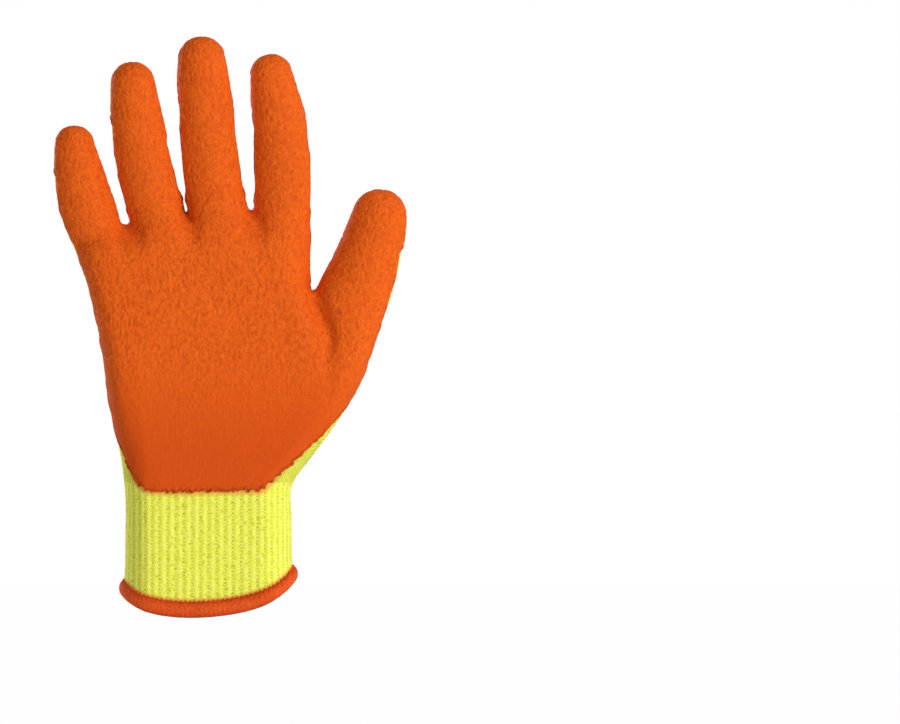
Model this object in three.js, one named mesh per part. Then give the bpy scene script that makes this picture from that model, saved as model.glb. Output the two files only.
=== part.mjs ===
// A right-hand grip glove, in millimetres. +Z runs from the cuff to the fingertips, -Y is the palm side
// and +X is the thumb side. The origin is the centre of the cuff's opening, level with the lowest point
// of the hem. The glove is a knitted liner (cuff, hand, thumb and four fingers, all hollow), a latex coat
// over its palm side and fingertips, and a stitched hem round the cuff's edge.
import * as THREE from "three";

// Walls and clearances
const knitWall = 1.5;
const coatThickness = 0.9;
const pieceGap = 0.3;

// Cuff and hem
const cuffWidth = 76;
const cuffDepth = 36;
const cuffLength = 60;
const hemHeight = 6.3;
const hemThickness = 1.5;
const hemRiseUlnar = 9;
const hemRiseRadial = 15.5;
const hemRiseBack = 4;
const hemLowest = -8;
const hemRiseEven = 0.6;
const hemRisePower = 7;

// Hand, from the wrist to the finger roots
const handLength = 122;
const palmWidth = 106.1;
const palmDepth = 32;
const palmHollow = 2.2;
const knuckleShift = -7.85;
const edgeRadius = 14;
const webDrop = 3;
const thumbRootHeight = 85.5;
const thumbRootWidth = 28.8;
const thumbWeb = 3.4;
const thumbShift = -2.5;

// Latex dip: how far short of the side edges it ends, as a share of half the depth, how far it climbs over
// each web, how it curves at the wrist, and how much of each fingertip and root it closes round
const dipSide = 0.28;
const dipWeb = 2.4;
const dipWristLow = 56;
const dipWristRiseUlnar = 40;
const dipWristRiseRadial = 51.5;
const dipWristPowerUlnar = 1.3;
const dipWristPowerRadial = 0.6;
const dipTipFull = 9;
const dipRootFade = 10;

// The fingers in order from the little finger. root and web are how wide the root and the web beyond it
// are, as shares of the palm's width, and rise is a share of the hand's length.
const FINGERS = [
  { name: "little_finger", root: 0.196, web: 0.058, rise: 0.909 },
  { name: "ring_finger", root: 0.211, web: 0.028, rise: 0.982 },
  { name: "middle_finger", root: 0.234, web: 0.047, rise: 1.0 },
  { name: "index_finger", root: 0.226, web: 0, rise: 0.988 },
];
const THUMB = { name: "thumb" };
// How each finger grows. reach is its length as a share of the hand's. lean and curl are in degrees,
// towards the thumb and towards the palm, and bow is how far it bows towards the thumb, as a share of its
// length.
const GROWTHS = {
  little_finger: { reach: 0.4, lean: -11.7, bow: -0.05, curl: 9 },
  ring_finger: { reach: 0.56, lean: -9.7, bow: -0.038, curl: 9 },
  middle_finger: { reach: 0.63, lean: -5.5, bow: -0.011, curl: 8 },
  index_finger: { reach: 0.577, lean: -5.5, bow: 0.036, curl: 7 },
  thumb: { reach: 0.437, lean: 16.5, bow: 0.045, curl: 12 },
};
// Their girth. mid and tip are widths as shares of the root's, and depth is a share of the width.
const GIRTHS = {
  little_finger: { mid: 1.01, tip: 0.69, depth: 0.82 },
  ring_finger: { mid: 1.02, tip: 0.74, depth: 0.86 },
  middle_finger: { mid: 0.99, tip: 0.76, depth: 0.85 },
  index_finger: { mid: 1.01, tip: 0.69, depth: 0.84 },
  thumb: { mid: 0.88, tip: 0.7, depth: 0.84 },
};
// How the latex ends on their backs. ulnar and radial are how far from the tip it fades out on either side.
// flank is how far it climbs up one side all along, as a share of half the depth: up the radial side where it
// is above 0, and else up the ulnar one. outside is 1 where the radial side borders no web, -1 where the
// ulnar side borders none.
const DIPS = {
  little_finger: { ulnar: 15, radial: 52, flank: 1.6, outside: -1 },
  ring_finger: { ulnar: 15, radial: 40, flank: 0, outside: 0 },
  middle_finger: { ulnar: 27, radial: 40, flank: 0, outside: 0 },
  index_finger: { ulnar: 29, radial: 35, flank: 0, outside: 1 },
  thumb: { ulnar: 44, radial: 19, flank: -2, outside: 1 },
};

// Rows of the cuff above its hem, as shares of the way to the wrist and of the cuff's width.
const CUFF_ROWS = [
  { up: 0.0, width: 0.995 },
  { up: 0.2, width: 0.985 },
  { up: 0.45, width: 0.985 },
  { up: 0.75, width: 0.98 },
  { up: 1.0, width: 1.0 },
];
// Rows of the hand. up is a share of the hand's length, ulnar and radial how far its edges have come from
// the cuff's edges to the knuckles' and the thumb root's, depth a share of the palm's, fold how deep the
// fold beside the thumb is, aside how far it lies from the palm's edge towards the thumb's outer side, and
// lift how far the row has turned from level to the slope of the roots above it.
const LOWER_ROWS = [
  { up: 0.0, ulnar: 0.0, radial: 0.0, depth: 1.1, fold: 0, aside: 0, lift: 0 },
  { up: 0.095, ulnar: 0.06, radial: 0.22, depth: 1.09, fold: 0, aside: 0.2, lift: 0 },
  { up: 0.19, ulnar: 0.18, radial: 0.421, depth: 1.09, fold: 0, aside: 0.4, lift: 0.05 },
  { up: 0.3, ulnar: 0.3, radial: 0.624, depth: 1.1, fold: 0.02, aside: 0.52, lift: 0.16 },
  { up: 0.42, ulnar: 0.376, radial: 0.784, depth: 1.09, fold: 0.22, aside: 0.5, lift: 0.36 },
  { up: 0.53, ulnar: 0.472, radial: 0.868, depth: 1.06, fold: 0.6, aside: 0.36, lift: 0.6 },
  { up: 0.63, ulnar: 0.581, radial: 0.949, depth: 1.03, fold: 0.88, aside: 0.16, lift: 0.82 },
  { up: 0.7, ulnar: 0.677, radial: 1.0, depth: 1.01, fold: 1, aside: 0, lift: 1 },
];
const UPPER_ROWS = [
  { up: 0.7, ulnar: 0.677, depth: 1.01, lobes: 0, lift: 0 },
  { up: 0.78, ulnar: 0.769, depth: 0.98, lobes: 0.02, lift: 0.1 },
  { up: 0.86, ulnar: 0.878, depth: 0.94, lobes: 0.12, lift: 0.36 },
  { up: 0.93, ulnar: 0.926, depth: 0.88, lobes: 0.42, lift: 0.7 },
  { up: 1.0, ulnar: 1.0, depth: 0.8, lobes: 1, lift: 1 },
];
// Rows of a finger up to the start of its round tip, as shares of the way there, and the tip's own rows in
// degrees. A tip is blunter the smaller its power.
const FINGER_ROWS = [0.0, 0.16, 0.34, 0.53, 0.73, 1.0];
const TIP_ROWS = [32, 61];
const tipPower = 0.85;

// Angles of a ring's points: 0 is the thumb's side, 90 the back and 270 the palm side.
const FRONT_ANGLES = [210, 240, 270, 300, 330];
const BACK_ANGLES = [30, 60, 90, 120, 150];
const ULNAR_SIDE = 180;
const RADIAL_SIDE = 0;

const rad = (degrees) => (degrees * Math.PI) / 180;
const mix = (a, b, share) => a + (b - a) * share;
const smooth = (share) => {
  const s = Math.min(1, Math.max(0, share));
  return s * s * (3 - 2 * s);
};
// Half thickness of a round-edged slab at a distance from its edge, as a share of its full half thickness.
const roundEdge = (distance, radius) => {
  const s = Math.min(1, Math.max(0, distance / radius));
  return Math.sqrt(1 - (1 - s) ** 2);
};

// Where each finger's root lies across the palm. A root's ring is square to the finger, which starts out
// turned from upright by its lean and its bow.
const wristZ = cuffLength;
const knuckleLeft = knuckleShift - palmWidth / 2;
const knuckleRight = knuckleShift + palmWidth / 2;
const LOBES = [...FINGERS, THUMB];
for (const lobe of LOBES) {
  Object.assign(lobe, GROWTHS[lobe.name], GIRTHS[lobe.name], DIPS[lobe.name]);
  lobe.length = handLength * lobe.reach;
  lobe.turn = rad(lobe.lean) + Math.atan(4 * lobe.bow);
}
let filled = knuckleLeft;
for (const finger of FINGERS) {
  const across = palmWidth * finger.root;
  finger.width = across / Math.cos(finger.turn);
  finger.x = filled + across / 2;
  finger.y = 0;
  finger.z = wristZ + handLength * finger.rise;
  filled += across + palmWidth * finger.web;
}
THUMB.width = thumbRootWidth / Math.cos(THUMB.turn);
THUMB.x = knuckleRight + thumbWeb + thumbRootWidth / 2;
THUMB.y = thumbShift;
THUMB.z = wristZ + thumbRootHeight - (THUMB.width / 2) * Math.sin(THUMB.turn);
const thumbRight = THUMB.x + thumbRootWidth / 2;

// A finger's centre line: straight along its lean, bowed sideways and curled towards the palm.
function centreLine(finger, share) {
  const along = finger.length * share;
  const aside = finger.bow * finger.length * 4 * share * (1 - share);
  return new THREE.Vector3(
    finger.x + Math.sin(rad(finger.lean)) * along + Math.cos(rad(finger.lean)) * aside,
    finger.y - Math.tan(rad(finger.curl)) * along * share,
    finger.z + Math.cos(rad(finger.lean)) * along - Math.sin(rad(finger.lean)) * aside,
  );
}

// Half width of a finger at a share of the way to its round tip: through its root, middle and tip widths.
function halfWidth(finger, share) {
  const root = 2 * (share - 0.5) * (share - 1);
  const mid = -4 * share * (share - 1);
  const tip = 2 * share * (share - 0.5);
  return (finger.width / 2) * (root + finger.mid * mid + finger.tip * tip);
}

// A point of a finger's ring, at a share of its whole length, with a width scale for the round tip.
function ringPoint(finger, share, halfWide, angle) {
  const step = 0.01;
  const centre = centreLine(finger, share);
  const axis = centreLine(finger, share + step).sub(centreLine(finger, share - step)).normalize();
  const across = new THREE.Vector3(0, 1, 0).cross(axis).normalize();
  const deep = axis.clone().cross(across);
  return centre
    .addScaledVector(across, halfWide * Math.cos(rad(angle)))
    .addScaledVector(deep, halfWide * finger.depth * Math.sin(rad(angle)));
}

// The latex reaches every point whose height over the dip's surface is above 0. It covers the palm side
// nearly to the glove's side edges, ends in a curve at the wrist, and closes over each fingertip.
function dipOnHand(point, row, lobe, angle) {
  const side = (atWeb(lobe, angle) ? dipWeb : -dipSide * row.halfDepth) - point.y;
  const across = (point.x - row.left) / (row.right - row.left);
  const rise = mix(dipWristRiseUlnar, dipWristRiseRadial, across);
  const power = mix(dipWristPowerUlnar, dipWristPowerRadial, across);
  const low = dipWristLow + rise * Math.max(0, 1 + point.y / row.halfDepth) ** power;
  return Math.min(side, (point.z - low) / 2);
}
function dipOnFinger(finger, point, centre, angle, fromTip) {
  const halfDeep = (finger.width / 2) * finger.depth;
  const onRadial = Math.cos(rad(angle));
  const fade = mix(finger.ulnar, finger.radial, (1 + onRadial) / 2);
  const flank = Math.max(0, finger.flank * onRadial) * halfDeep;
  const overTip = ((1 + dipSide) * halfDeep + 1) * smooth((fade - fromTip) / (fade - dipTipFull));
  const rootShare = smooth(1 - (finger.length - fromTip) / dipRootFade);
  const atRoot = onRadial * finger.outside > 0 ? (-dipSide * palmDepth) / 2 : dipWeb;
  return mix(Math.max(flank, overTip) - dipSide * halfDeep, atRoot, rootShare) - (point.y - centre.y);
}

// The surface as points with their latex height, and faces that each belong to a piece.
const points = [];
const faces = [];
function addPoint(position, latex) {
  points.push({ position, latex });
  return points.length - 1;
}
function addFace(piece, ...corners) {
  faces.push({ piece, corners });
}
// The narrow gap between two pieces of the knit. The latex runs across it from the lower ring.
function bridge(lower, upper) {
  joinRings("gap", lower, upper);
  upper.forEach((id, i) => (points[id].over = lower[i]));
}
function joinRings(piece, lower, upper) {
  lower.forEach((id, i) => {
    const next = (i + 1) % lower.length;
    addFace(piece, id, lower[next], upper[next], upper[i]);
  });
}

// How far across its part of the hand a lobe's point lies, from 0 at the ulnar edge to 1 at the radial one.
function shareAcross(lobe, angle) {
  if (lobe === THUMB) return (1 + Math.cos(rad(angle))) / 2;
  const across = (lobe.width / 2) * Math.cos(lobe.turn) * Math.cos(rad(angle));
  return (lobe.x + across - knuckleLeft) / palmWidth;
}
// Whether a point borders a web: the fabric between two lobes.
function atWeb(lobe, angle) {
  const onRadial = Math.cos(rad(angle)) > 0.8 && lobe !== THUMB;
  const onUlnar = Math.cos(rad(angle)) < -0.8 && lobe !== FINGERS[0];
  return (onRadial || onUlnar) && Math.abs(Math.sin(rad(angle))) > 0.1;
}
// How far a lobe's root point lies above the level of its row.
function rootLift(lobe, angle, level) {
  const drop = atWeb(lobe, angle) ? webDrop : 0;
  return ringPoint(lobe, 0, lobe.width / 2, angle).z - drop - level;
}

// The outline of a row of the hand: its edges, and the edges of its palm and thumb parts.
function handRow(row, upper) {
  const halfCuff = cuffWidth / 2;
  const left = mix(-halfCuff, knuckleLeft, row.ulnar);
  const right = upper ? knuckleRight : mix(halfCuff, thumbRight, row.radial);
  const partLeft = mix(-halfCuff, knuckleLeft, UPPER_ROWS[0].ulnar);
  const thumbShare = (thumbRight - knuckleRight) / (thumbRight - partLeft);
  const palmRight = upper ? knuckleRight : right - (right - left) * thumbShare * (1 - row.aside);
  const thumbLeft = palmRight + (thumbWeb * (right - palmRight)) / (thumbRight - knuckleRight);
  const deep = row.up === 0 ? cuffDepth : palmDepth * row.depth;
  const z = wristZ + handLength * row.up;
  return { ...row, left, right, palmRight, thumbLeft, halfDepth: deep / 2, z };
}

// A point of the hand or cuff. Low down the section is one round-edged slab. Towards the thumb's root it
// parts into a palm and a thumb, and towards the finger roots the palm parts into four fingers.
function handPoint(row, lobe, angle) {
  const onThumb = lobe === THUMB;
  const [from, to] = onThumb ? [row.thumbLeft, row.right] : [row.left, row.palmRight];
  const x = mix(from, to, shareAcross(lobe, angle));
  const facing = Math.sign(Math.sin(rad(angle))) * (Math.abs(Math.sin(rad(angle))) > 0.1 ? 1 : 0);
  const whole = row.halfDepth * roundEdge(Math.min(x - row.left, row.right - x), edgeRadius);
  const lobeDeep = (lobe.width / 2) * lobe.depth * Math.abs(Math.sin(rad(angle)));
  const palm = row.halfDepth * roundEdge(Math.min(x - row.left, row.palmRight - x), edgeRadius);
  const parted = onThumb ? lobeDeep : palm;
  const deep = mix(mix(whole, parted, row.fold ?? 1), lobeDeep, row.lobes ?? 0);
  const shift = onThumb ? thumbShift * (row.fold ?? 1) : 0;
  const middle = smooth((deep / row.halfDepth - 0.7) * 3) * (1 - (row.lobes ?? 0));
  const hollow = facing < 0 ? palmHollow * middle * Math.sin(Math.PI * Math.min(1, row.up)) : 0;
  const level = onThumb ? wristZ + thumbRootHeight : wristZ + handLength;
  const lifts = onThumb || row.lobes !== undefined;
  const z = row.z + (lifts ? rootLift(lobe, angle, level) * row.lift : 0);
  return new THREE.Vector3(x, shift + facing * deep + hollow, z);
}

// How high the hem's lower edge lies: lowest near the middle of the palm side, higher at its sides and back.
// It rises evenly at first, and steeply at the sides.
function hemLevel(x, y) {
  const onRadial = x > hemLowest;
  const reach = cuffWidth / 2 + (onRadial ? -hemLowest : hemLowest);
  const share = Math.min(1, Math.abs(x - hemLowest) / reach);
  const bent = mix(share ** hemRisePower, share ** 2, hemRiseEven);
  return (onRadial ? hemRiseRadial : hemRiseUlnar) * bent + (y > 0 ? hemRiseBack * (1 - bent) : 0);
}

// A row's front points, back points and outer side points, made once and shared by the rings that use them.
function makeRow(lobes, pointAt) {
  const made = { lobes };
  for (const lobe of lobes) {
    made[lobe.name] = {};
    for (const angle of [...FRONT_ANGLES, ...BACK_ANGLES]) made[lobe.name][angle] = pointAt(lobe, angle);
  }
  made.ulnar = pointAt(lobes[0], ULNAR_SIDE);
  made.radial = pointAt(lobes[lobes.length - 1], RADIAL_SIDE);
  return made;
}
function ringOf(row, lobes = row.lobes, ulnar = row.ulnar, radial = row.radial) {
  const front = lobes.flatMap((lobe) => FRONT_ANGLES.map((angle) => row[lobe.name][angle]));
  const back = [...lobes].reverse().flatMap((lobe) => BACK_ANGLES.map((angle) => row[lobe.name][angle]));
  return [ulnar, ...front, radial, ...back];
}
// Closes the web between two neighbouring lobes at the row where they part.
function closeWeb(piece, row, before, after, radialOfBefore, ulnarOfAfter) {
  addFace(piece, row[before.name][330], row[after.name][210], ulnarOfAfter, radialOfBefore);
  addFace(piece, row[after.name][150], row[before.name][30], radialOfBefore, ulnarOfAfter);
}

function buildFinger(finger, rootRing) {
  const roundLength = (finger.width / 2) * finger.tip;
  const bodyShare = 1 - roundLength / finger.length;
  const angles = [ULNAR_SIDE, ...FRONT_ANGLES, RADIAL_SIDE, ...BACK_ANGLES];
  const addRing = (share, wide) =>
    angles.map((angle) => {
      const position = ringPoint(finger, share, wide, angle);
      const fromTip = finger.length * (1 - share);
      return addPoint(position, dipOnFinger(finger, position, centreLine(finger, share), angle, fromTip));
    });
  const gapShare = pieceGap / finger.length;
  // The first ring follows the root's own points, one gap above them.
  const axis = centreLine(finger, 0.01).sub(centreLine(finger, 0)).normalize();
  let below = rootRing.map((id) =>
    addPoint(points[id].position.clone().addScaledVector(axis, pieceGap), points[id].latex),
  );
  bridge(rootRing, below);
  for (const share of FINGER_ROWS.slice(1)) {
    const ring = addRing(gapShare + share * (bodyShare - gapShare), halfWidth(finger, share));
    joinRings(finger.name, below, ring);
    below = ring;
  }
  for (const angle of TIP_ROWS) {
    const share = bodyShare + (1 - bodyShare) * Math.sin(rad(angle));
    const ring = addRing(share, halfWidth(finger, 1) * Math.cos(rad(angle)) ** tipPower);
    joinRings(finger.name, below, ring);
    below = ring;
  }
  const pole = addPoint(centreLine(finger, 1), 1);
  below.forEach((id, i) => addFace(finger.name, id, below[(i + 1) % below.length], pole));
}

const edge = [];
function buildSurface() {
  const cuffStart = handRow(LOWER_ROWS[0], false);
  // The knit inside the hem stands straight up, and its rows start above the hem.
  const cuffPoint = (share, width) => (lobe, angle) => {
    const at = handPoint({ ...cuffStart, fold: 0, lift: 0 }, lobe, angle);
    const centre = (cuffStart.left + cuffStart.right) / 2;
    const position = new THREE.Vector3(centre + (at.x - centre) * width, at.y * width, 0);
    const bottom = hemLevel(position.x, position.y) + hemThickness + pieceGap;
    position.z = share < 0 ? bottom : mix(bottom + hemHeight, wristZ - pieceGap, share);
    return addPoint(position, dipOnHand(position, cuffStart, lobe, angle));
  };
  let below = makeRow(LOBES, cuffPoint(-1, CUFF_ROWS[0].width));
  edge.push(...ringOf(below));
  for (const { up, width } of CUFF_ROWS) {
    const row = makeRow(LOBES, cuffPoint(up, width));
    joinRings("knit_cuff", ringOf(below), ringOf(row));
    below = row;
  }
  const handRowPoints = (row) => (lobe, angle) => {
    const position = handPoint(row, lobe, angle);
    return addPoint(position, dipOnHand(position, row, lobe, angle));
  };
  LOWER_ROWS.forEach((entry, i) => {
    const row = makeRow(LOBES, handRowPoints(handRow(entry, false)));
    if (i === 0) bridge(ringOf(below), ringOf(row));
    else joinRings("knit_hand", ringOf(below), ringOf(row));
    below = row;
  });
  // The hand parts into the palm and the thumb.
  const index = FINGERS[FINGERS.length - 1];
  const partRow = handRow(UPPER_ROWS[0], true);
  const palmSide = addPoint(handPoint(partRow, index, RADIAL_SIDE), dipWeb);
  const thumbSide = addPoint(ringPoint(THUMB, 0, THUMB.width / 2, ULNAR_SIDE), dipWeb - thumbShift);
  closeWeb("knit_hand", below, index, THUMB, palmSide, thumbSide);
  buildFinger(THUMB, ringOf(below, [THUMB], thumbSide, below.radial));
  let ring = ringOf(below, FINGERS, below.ulnar, palmSide);
  let row = below;
  for (const entry of UPPER_ROWS.slice(1)) {
    row = makeRow(FINGERS, handRowPoints(handRow(entry, true)));
    joinRings("knit_hand", ring, ringOf(row));
    ring = ringOf(row);
  }
  // The palm parts into the four fingers.
  const sides = FINGERS.map((finger) => ({
    ulnar: addPoint(ringPoint(finger, 0, finger.width / 2, ULNAR_SIDE), dipWeb),
    radial: addPoint(ringPoint(finger, 0, finger.width / 2, RADIAL_SIDE), dipWeb),
  }));
  FINGERS.forEach((finger, i) => {
    const ulnar = i === 0 ? row.ulnar : sides[i].ulnar;
    const radial = i === FINGERS.length - 1 ? row.radial : sides[i].radial;
    if (i > 0) closeWeb("knit_hand", row, FINGERS[i - 1], finger, sides[i - 1].radial, ulnar);
    buildFinger(finger, ringOf(row, [finger], ulnar, radial));
  });
}
buildSurface();

// Each point's outward normal, from the faces round it
const triangles = faces.flatMap(({ piece, corners: [a, b, c, d] }) => {
  if (d === undefined) return [{ piece, corners: [a, b, c] }];
  const at = (id) => points[id].position;
  const shortFirst = at(a).distanceTo(at(c)) <= at(b).distanceTo(at(d));
  const halves = shortFirst ? [[a, b, c], [a, c, d]] : [[a, b, d], [b, c, d]];
  return halves.map((corners) => ({ piece, corners }));
});
// The offset of a point by 1 mm puts each face round it about 1 mm further out, so it is longer at a fold.
function offsetOf(normals) {
  const mean = normals.reduce((sum, normal) => sum.add(normal), new THREE.Vector3()).normalize();
  const sums = new THREE.Matrix3().set(0, 0, 0, 0, 0, 0, 0, 0, 0);
  const wanted = new THREE.Vector3();
  const hold = 0.05 * normals.length;
  const add = (direction, weight, distance) => {
    const { x, y, z } = direction;
    const own = [x * x, x * y, x * z, y * x, y * y, y * z, z * x, z * y, z * z];
    own.forEach((value, i) => (sums.elements[i] += value * weight));
    wanted.addScaledVector(direction, weight * distance);
  };
  for (const normal of normals) add(normal, 1, 1);
  add(new THREE.Vector3(1, 0, 0), hold, mean.x);
  add(new THREE.Vector3(0, 1, 0), hold, mean.y);
  add(new THREE.Vector3(0, 0, 1), hold, mean.z);
  const offset = wanted.applyMatrix3(sums.invert());
  return offset.clampLength(1, 2.4);
}
function setOffsets(triangles) {
  for (const point of points) point.normals = [];
  for (const { corners } of triangles) {
    const [a, b, c] = corners.map((id) => points[id].position);
    const normal = b.clone().sub(a).cross(c.clone().sub(a)).normalize();
    for (const id of corners) points[id].normals.push(normal);
  }
  for (const point of points) if (point.normals.length > 0) point.offset = offsetOf(point.normals);
}

// A closed mesh between two offsets of some triangles of the surface, with a rim round their open edges.
function shell(part, outer, inner) {
  const place = (id, distance) => {
    const { position, offset } = points[id];
    return position.clone().addScaledVector(offset, distance).toArray();
  };
  const ids = [...new Set(part.flat())];
  const slot = new Map(ids.map((id, i) => [id, i]));
  const count = ids.length;
  const positions = [...ids.flatMap((id) => place(id, outer)), ...ids.flatMap((id) => place(id, inner))];
  const index = [];
  const edges = new Set(part.flatMap(([a, b, c]) => [`${a},${b}`, `${b},${c}`, `${c},${a}`]));
  for (const corners of part) {
    const [a, b, c] = corners.map((id) => slot.get(id));
    index.push(a, b, c, count + a, count + c, count + b);
    corners.forEach((from, i) => {
      const to = corners[(i + 1) % 3];
      if (edges.has(`${to},${from}`)) return;
      const [p, q] = [slot.get(from), slot.get(to)];
      index.push(p, count + p, q, q, count + p, count + q);
    });
  }
  return new THREE.BufferGeometry()
    .setAttribute("position", new THREE.Float32BufferAttribute(positions, 3))
    .setIndex(index);
}

// Cuts triangles along the line where the latex ends, and keeps the side that it covers.
function coated(part) {
  const cuts = new Map();
  const nearest = 0.12;
  const cut = (a, b) => {
    const [low, high] = a < b ? [a, b] : [b, a];
    const key = `${low},${high}`;
    if (!cuts.has(key)) {
      const [p, q] = [points[low], points[high]];
      const share = Math.min(1 - nearest, Math.max(nearest, p.latex / (p.latex - q.latex)));
      const id = addPoint(p.position.clone().lerp(q.position, share), 0);
      points[id].offset = p.offset.clone().lerp(q.offset, share).clampLength(1, 2.4);
      cuts.set(key, id);
    }
    return cuts.get(key);
  };
  return part.flatMap((corners) => {
    const kept = corners.flatMap((id, i) => {
      const next = corners[(i + 1) % 3];
      const own = points[id].latex > 0 ? [id] : [];
      return points[id].latex > 0 !== points[next].latex > 0 ? [...own, cut(id, next)] : own;
    });
    return kept.length < 3 ? [] : kept.slice(2).map((id, i) => [kept[0], kept[i + 1], id]);
  });
}

// The hem wraps the cuff's edge: a band with a slot in its top that the knit stands in, swept round it.
function hemGeometry() {
  const innerFace = -knitWall - pieceGap;
  const section = [
    [pieceGap + hemThickness, 0],
    [pieceGap + hemThickness, hemHeight],
    [pieceGap, hemHeight],
    [pieceGap, hemThickness],
    [innerFace, hemThickness],
    [innerFace, hemHeight],
    [innerFace - hemThickness, hemHeight],
    [innerFace - hemThickness, 0],
  ];
  const positions = edge.flatMap((id) => {
    const { position, offset } = points[id];
    const out = new THREE.Vector3(offset.x, offset.y, 0);
    const bottom = position.z - hemThickness - pieceGap;
    return section.flatMap(([aside, up]) => {
      return [position.x + out.x * aside, position.y + out.y * aside, bottom + up];
    });
  });
  const index = [];
  const turns = section.length;
  edge.forEach((_, i) => {
    const next = (i + 1) % edge.length;
    section.forEach((_, k) => {
      const over = (k + 1) % turns;
      const [a, b, c, d] = [i * turns + k, next * turns + k, next * turns + over, i * turns + over];
      index.push(a, b, c, a, c, d);
    });
  });
  return new THREE.BufferGeometry()
    .setAttribute("position", new THREE.Float32BufferAttribute(positions, 3))
    .setIndex(index);
}

const yellowKnit = new THREE.MeshStandardMaterial({ color: 0xd9df4a, roughness: 0.95, metalness: 0 });
const orangeLatex = new THREE.MeshStandardMaterial({ color: 0xe2571a, roughness: 0.7, metalness: 0 });
const orangeThread = new THREE.MeshStandardMaterial({ color: 0xd6471c, roughness: 0.9, metalness: 0 });

const glove = new THREE.Group();
function addPiece(name, geometry, material) {
  geometry.computeVertexNormals();
  const mesh = new THREE.Mesh(geometry, material);
  mesh.name = name;
  glove.add(mesh);
}
setOffsets(triangles);
for (const piece of ["knit_cuff", "knit_hand", ...LOBES.map(({ name }) => name)]) {
  const name = piece.startsWith("knit") ? piece : `knit_${piece}`;
  const part = triangles.filter((triangle) => triangle.piece === piece).map(({ corners }) => corners);
  addPiece(name, shell(part, 0, -knitWall), yellowKnit);
}
addPiece("cuff_hem", hemGeometry(), orangeThread);
const outer = triangles
  .filter(({ piece }) => piece !== "gap")
  .map(({ corners }) => ({ corners: corners.map((id) => points[id].over ?? id) }));
setOffsets(outer);
const coat = coated(outer.map(({ corners }) => corners));
addPiece("latex_coat", shell(coat, pieceGap + coatThickness, pieceGap), orangeLatex);

export default glove;
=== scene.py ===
"""Dresses the solids of a coated grip glove with knit, latex and overlock thread, and lights it."""

import math

import bpy
import numpy as np
from mathutils import Matrix, Vector, noise
from mathutils.bvhtree import BVHTree
from mathutils.kdtree import KDTree


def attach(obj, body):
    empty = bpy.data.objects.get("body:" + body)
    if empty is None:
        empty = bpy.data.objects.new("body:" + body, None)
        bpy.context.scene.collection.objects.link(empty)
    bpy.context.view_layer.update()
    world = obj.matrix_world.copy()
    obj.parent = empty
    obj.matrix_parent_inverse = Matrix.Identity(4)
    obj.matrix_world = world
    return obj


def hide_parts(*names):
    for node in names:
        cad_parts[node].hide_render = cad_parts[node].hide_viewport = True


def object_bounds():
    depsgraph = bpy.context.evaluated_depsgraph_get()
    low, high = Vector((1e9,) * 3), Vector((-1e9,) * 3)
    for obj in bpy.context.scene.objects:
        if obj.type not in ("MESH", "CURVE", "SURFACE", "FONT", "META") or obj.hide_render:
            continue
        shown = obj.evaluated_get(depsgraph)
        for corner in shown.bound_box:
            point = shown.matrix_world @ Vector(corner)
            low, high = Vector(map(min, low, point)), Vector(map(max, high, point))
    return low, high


bl_info = {
    "name": "Coated grip glove",
    "version": (1, 0, 0),
    "blender": (4, 5, 0),
    "location": "3D View > Sidebar > Glove",
    "description": "Dresses the solids of a knitted glove with knit, latex and overlock thread",
    "category": "Object",
}

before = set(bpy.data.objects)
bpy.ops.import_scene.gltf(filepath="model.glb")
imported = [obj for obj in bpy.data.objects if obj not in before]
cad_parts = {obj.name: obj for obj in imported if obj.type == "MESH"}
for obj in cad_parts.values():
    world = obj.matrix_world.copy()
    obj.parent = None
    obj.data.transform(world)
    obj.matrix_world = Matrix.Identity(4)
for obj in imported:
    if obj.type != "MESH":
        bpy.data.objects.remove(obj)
CAD_BOX = [list(corner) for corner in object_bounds()]
MM = 0.001

# The glove's driving sizes, in millimetres, the same as in the part's source.
CUFF_LENGTH = 60.0
CUFF_WIDTH = 76.0
CUFF_DEPTH = 36.0
HEM_HEIGHT = 6.3
HEM_LOWEST = -8.0
HEM_RISE_ULNAR = 9.0
HEM_RISE_RADIAL = 15.5
HEM_RISE_BACK = 4.0
HEM_RISE_EVEN = 0.6
HEM_RISE_POWER = 7.0
HEM_ROUTE = 0.995
HAND_LENGTH = 122.0
PALM_WIDTH = 106.1
KNUCKLE_SHIFT = -7.85
EDGE_RADIUS = 14.0
THUMB_ROOT_HEIGHT = 85.5
THUMB_ROOT_WIDTH = 28.8
THUMB_BASE_DROP = 44.0
THUMB_WEB = 3.4
THUMB_SHIFT = -2.5

# The photograph's size, and where the glove's origin lies in it, in pixels.
PHOTO_WIDTH = 900
PHOTO_HEIGHT = 724
ORIGIN_COLUMN = 208.5
ORIGIN_ROW = 615

# Each finger: root and web as shares of the palm's width, rise and reach as shares of the hand's length,
# lean and curl in degrees, bow as a share of the finger's length, mid and tip as shares of the root's width.
FINGERS = [
    dict(name="little_finger", root=0.196, web=0.058, rise=0.909, reach=0.4, lean=-11.7, bow=-0.05, curl=9,
         mid=1.01, tip=0.69),
    dict(name="ring_finger", root=0.211, web=0.028, rise=0.982, reach=0.56, lean=-9.7, bow=-0.038, curl=9,
         mid=1.02, tip=0.74),
    dict(name="middle_finger", root=0.234, web=0.047, rise=1.0, reach=0.63, lean=-5.5, bow=-0.011, curl=8,
         mid=0.99, tip=0.76),
    dict(name="index_finger", root=0.226, web=0.0, rise=0.988, reach=0.577, lean=-5.5, bow=0.036, curl=7,
         mid=1.01, tip=0.69),
]
THUMB = dict(name="thumb", reach=0.437, lean=16.5, bow=0.045, curl=12, mid=0.88, tip=0.7)
LOBES = [*FINGERS, THUMB]

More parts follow.
